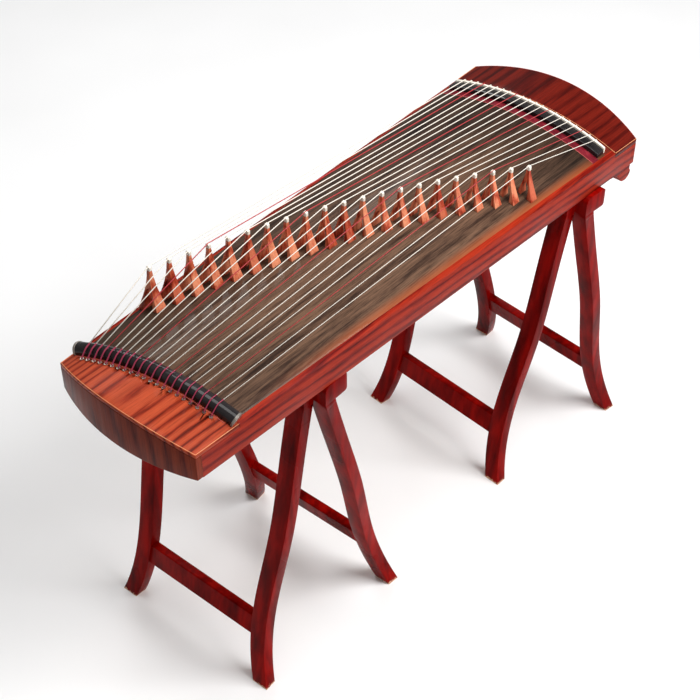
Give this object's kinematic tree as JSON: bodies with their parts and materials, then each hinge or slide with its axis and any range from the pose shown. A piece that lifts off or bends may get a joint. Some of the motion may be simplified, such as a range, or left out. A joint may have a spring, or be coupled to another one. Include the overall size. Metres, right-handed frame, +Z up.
{
  "type": "guzheng",
  "caption": "Short Chinese board zither with an arched deck, movable A-shaped bridges under taut strings, a lidded tuning box, and two folding trestles with curved legs.",
  "frame": {"origin": "on the floor, under the middle of the whole outline", "axes": "+X along the instrument towards the tuning box, +Y away from the player, +Z up"},
  "size_m": [1.0748, 0.3865, 0.7442],
  "materials": {
    "soundboard": "oiled, dark open grain",
    "deck_veneer": "varnished rosewood with dark streaks",
    "rosewood": "varnished",
    "dark_rosewood": "varnished",
    "bridge_wood": "polished",
    "red_lacquer": "glossy mahogany lacquer",
    "black_horn": "polished",
    "bone": "satin",
    "red_inlay": "varnished",
    "pin_metal": "polished",
    "silk_red": "wound silk",
    "string_red": "nylon-wound steel",
    "string_white": "nylon-wound steel",
    "hinge_steel": "brushed"
  },
  "bodies": {
    "instrument": {"soundboard": "soundboard", "tail_deck": "deck_veneer", "tail_end_board": "dark_rosewood", "head_end_board": "rosewood", "near_side_panel": "rosewood", "far_side_panel": "rosewood", "bottom_board": "soundboard", "head_foot": "rosewood", "braces": "soundboard", "tuning_bulkhead": "rosewood", "tuning_shelf": "rosewood", "tuning_pins": "pin_metal", "nut_deck": "rosewood", "front_nut": "black_horn", "front_nut_bone": "bone", "inlay_band": "red_inlay", "rear_nut": "black_horn", "rear_nut_caps": "black_horn", "string_pins": "pin_metal", "string_wraps": "silk_red", "strings_red": "string_red", "strings_white": "string_white"},
    "lid": {"head_lid": "deck_veneer"},
    "bridge_01": {"bridge_01": "bridge_wood"},
    "bridge_02": {"bridge_02": "bridge_wood"},
    "bridge_03": {"bridge_03": "bridge_wood"},
    "bridge_04": {"bridge_04": "bridge_wood"},
    "bridge_05": {"bridge_05": "bridge_wood"},
    "bridge_06": {"bridge_06": "bridge_wood"},
    "bridge_07": {"bridge_07": "bridge_wood"},
    "bridge_08": {"bridge_08": "bridge_wood"},
    "bridge_09": {"bridge_09": "bridge_wood"},
    "bridge_10": {"bridge_10": "bridge_wood"},
    "bridge_11": {"bridge_11": "bridge_wood"},
    "bridge_12": {"bridge_12": "bridge_wood"},
    "bridge_13": {"bridge_13": "bridge_wood"},
    "bridge_14": {"bridge_14": "bridge_wood"},
    "bridge_15": {"bridge_15": "bridge_wood"},
    "bridge_16": {"bridge_16": "bridge_wood"},
    "bridge_17": {"bridge_17": "bridge_wood"},
    "bridge_18": {"bridge_18": "bridge_wood"},
    "bridge_19": {"bridge_19": "bridge_wood"},
    "bridge_20": {"bridge_20": "bridge_wood"},
    "bridge_21": {"bridge_21": "bridge_wood"},
    "left_trestle_main": {"left_trestle_rail": "red_lacquer", "left_trestle_main_leg_near": "red_lacquer", "left_trestle_main_leg_far": "red_lacquer", "left_trestle_main_stretcher": "red_lacquer", "left_trestle_pivot": "hinge_steel"},
    "left_trestle_swing": {"left_trestle_swing_leg_near": "red_lacquer", "left_trestle_swing_leg_far": "red_lacquer", "left_trestle_swing_stretcher": "red_lacquer"},
    "right_trestle_main": {"right_trestle_rail": "red_lacquer", "right_trestle_main_leg_near": "red_lacquer", "right_trestle_main_leg_far": "red_lacquer", "right_trestle_main_stretcher": "red_lacquer", "right_trestle_pivot": "hinge_steel"},
    "right_trestle_swing": {"right_trestle_swing_leg_near": "red_lacquer", "right_trestle_swing_leg_far": "red_lacquer", "right_trestle_swing_stretcher": "red_lacquer"}
  },
  "joints": [
    {"name": "lid_lift", "type": "slide", "parent": "instrument", "child": "lid", "axis": [0, 0, 1], "range_m": [0, 0.06]},
    {"name": "bridge_01_slide", "type": "slide", "parent": "instrument", "child": "bridge_01", "axis": [1, 0, 0], "range_m": [-0.003, 0.003], "deforming": ["strings_white"]},
    {"name": "bridge_02_slide", "type": "slide", "parent": "instrument", "child": "bridge_02", "axis": [1, 0, 0], "range_m": [-0.003, 0.003], "deforming": ["strings_white"]},
    {"name": "bridge_03_slide", "type": "slide", "parent": "instrument", "child": "bridge_03", "axis": [1, 0, 0], "range_m": [-0.003, 0.003], "deforming": ["strings_red"]},
    {"name": "bridge_04_slide", "type": "slide", "parent": "instrument", "child": "bridge_04", "axis": [1, 0, 0], "range_m": [-0.003, 0.003], "deforming": ["strings_white"]},
    {"name": "bridge_05_slide", "type": "slide", "parent": "instrument", "child": "bridge_05", "axis": [1, 0, 0], "range_m": [-0.003, 0.003], "deforming": ["strings_white"]},
    {"name": "bridge_06_slide", "type": "slide", "parent": "instrument", "child": "bridge_06", "axis": [1, 0, 0], "range_m": [-0.003, 0.003], "deforming": ["strings_white"]},
    {"name": "bridge_07_slide", "type": "slide", "parent": "instrument", "child": "bridge_07", "axis": [1, 0, 0], "range_m": [-0.003, 0.003], "deforming": ["strings_white"]},
    {"name": "bridge_08_slide", "type": "slide", "parent": "instrument", "child": "bridge_08", "axis": [1, 0, 0], "range_m": [-0.003, 0.003], "deforming": ["strings_red"]},
    {"name": "bridge_09_slide", "type": "slide", "parent": "instrument", "child": "bridge_09", "axis": [1, 0, 0], "range_m": [-0.003, 0.003], "deforming": ["strings_white"]},
    {"name": "bridge_10_slide", "type": "slide", "parent": "instrument", "child": "bridge_10", "axis": [1, 0, 0], "range_m": [-0.003, 0.003], "deforming": ["strings_white"]},
    {"name": "bridge_11_slide", "type": "slide", "parent": "instrument", "child": "bridge_11", "axis": [1, 0, 0], "range_m": [-0.003, 0.003], "deforming": ["strings_white"]},
    {"name": "bridge_12_slide", "type": "slide", "parent": "instrument", "child": "bridge_12", "axis": [1, 0, 0], "range_m": [-0.003, 0.003], "deforming": ["strings_white"]},
    {"name": "bridge_13_slide", "type": "slide", "parent": "instrument", "child": "bridge_13", "axis": [1, 0, 0], "range_m": [-0.003, 0.003], "deforming": ["strings_red"]},
    {"name": "bridge_14_slide", "type": "slide", "parent": "instrument", "child": "bridge_14", "axis": [1, 0, 0], "range_m": [-0.003, 0.003], "deforming": ["strings_white"]},
    {"name": "bridge_15_slide", "type": "slide", "parent": "instrument", "child": "bridge_15", "axis": [1, 0, 0], "range_m": [-0.003, 0.003], "deforming": ["strings_white"]},
    {"name": "bridge_16_slide", "type": "slide", "parent": "instrument", "child": "bridge_16", "axis": [1, 0, 0], "range_m": [-0.003, 0.003], "deforming": ["strings_white"]},
    {"name": "bridge_17_slide", "type": "slide", "parent": "instrument", "child": "bridge_17", "axis": [1, 0, 0], "range_m": [-0.003, 0.003], "deforming": ["strings_white"]},
    {"name": "bridge_18_slide", "type": "slide", "parent": "instrument", "child": "bridge_18", "axis": [1, 0, 0], "range_m": [-0.003, 0.003], "deforming": ["strings_red"]},
    {"name": "bridge_19_slide", "type": "slide", "parent": "instrument", "child": "bridge_19", "axis": [1, 0, 0], "range_m": [-0.003, 0.003], "deforming": ["strings_white"]},
    {"name": "bridge_20_slide", "type": "slide", "parent": "instrument", "child": "bridge_20", "axis": [1, 0, 0], "range_m": [-0.003, 0.003], "deforming": ["strings_white"]},
    {"name": "bridge_21_slide", "type": "slide", "parent": "instrument", "child": "bridge_21", "axis": [1, 0, 0], "range_m": [-0.003, 0.003], "deforming": ["strings_white"]},
    {"name": "left_trestle_lift_off", "type": "slide", "parent": "instrument", "child": "left_trestle_main", "axis": [0, 0, -1], "range_m": [0, 0.08]},
    {"name": "left_trestle_fold", "type": "hinge", "parent": "left_trestle_main", "child": "left_trestle_swing", "pos_m": [-0.2847, 0.02401, 0.558], "axis": [0.0349, -0.9994, 0], "range_deg": [0, 26]},
    {"name": "right_trestle_lift_off", "type": "slide", "parent": "instrument", "child": "right_trestle_main", "axis": [0, 0, -1], "range_m": [0, 0.08]},
    {"name": "right_trestle_fold", "type": "hinge", "parent": "right_trestle_main", "child": "right_trestle_swing", "pos_m": [0.33551, -0.00162, 0.558], "axis": [-0.068, -0.9977, 0], "range_deg": [0, 26]}
  ]
}
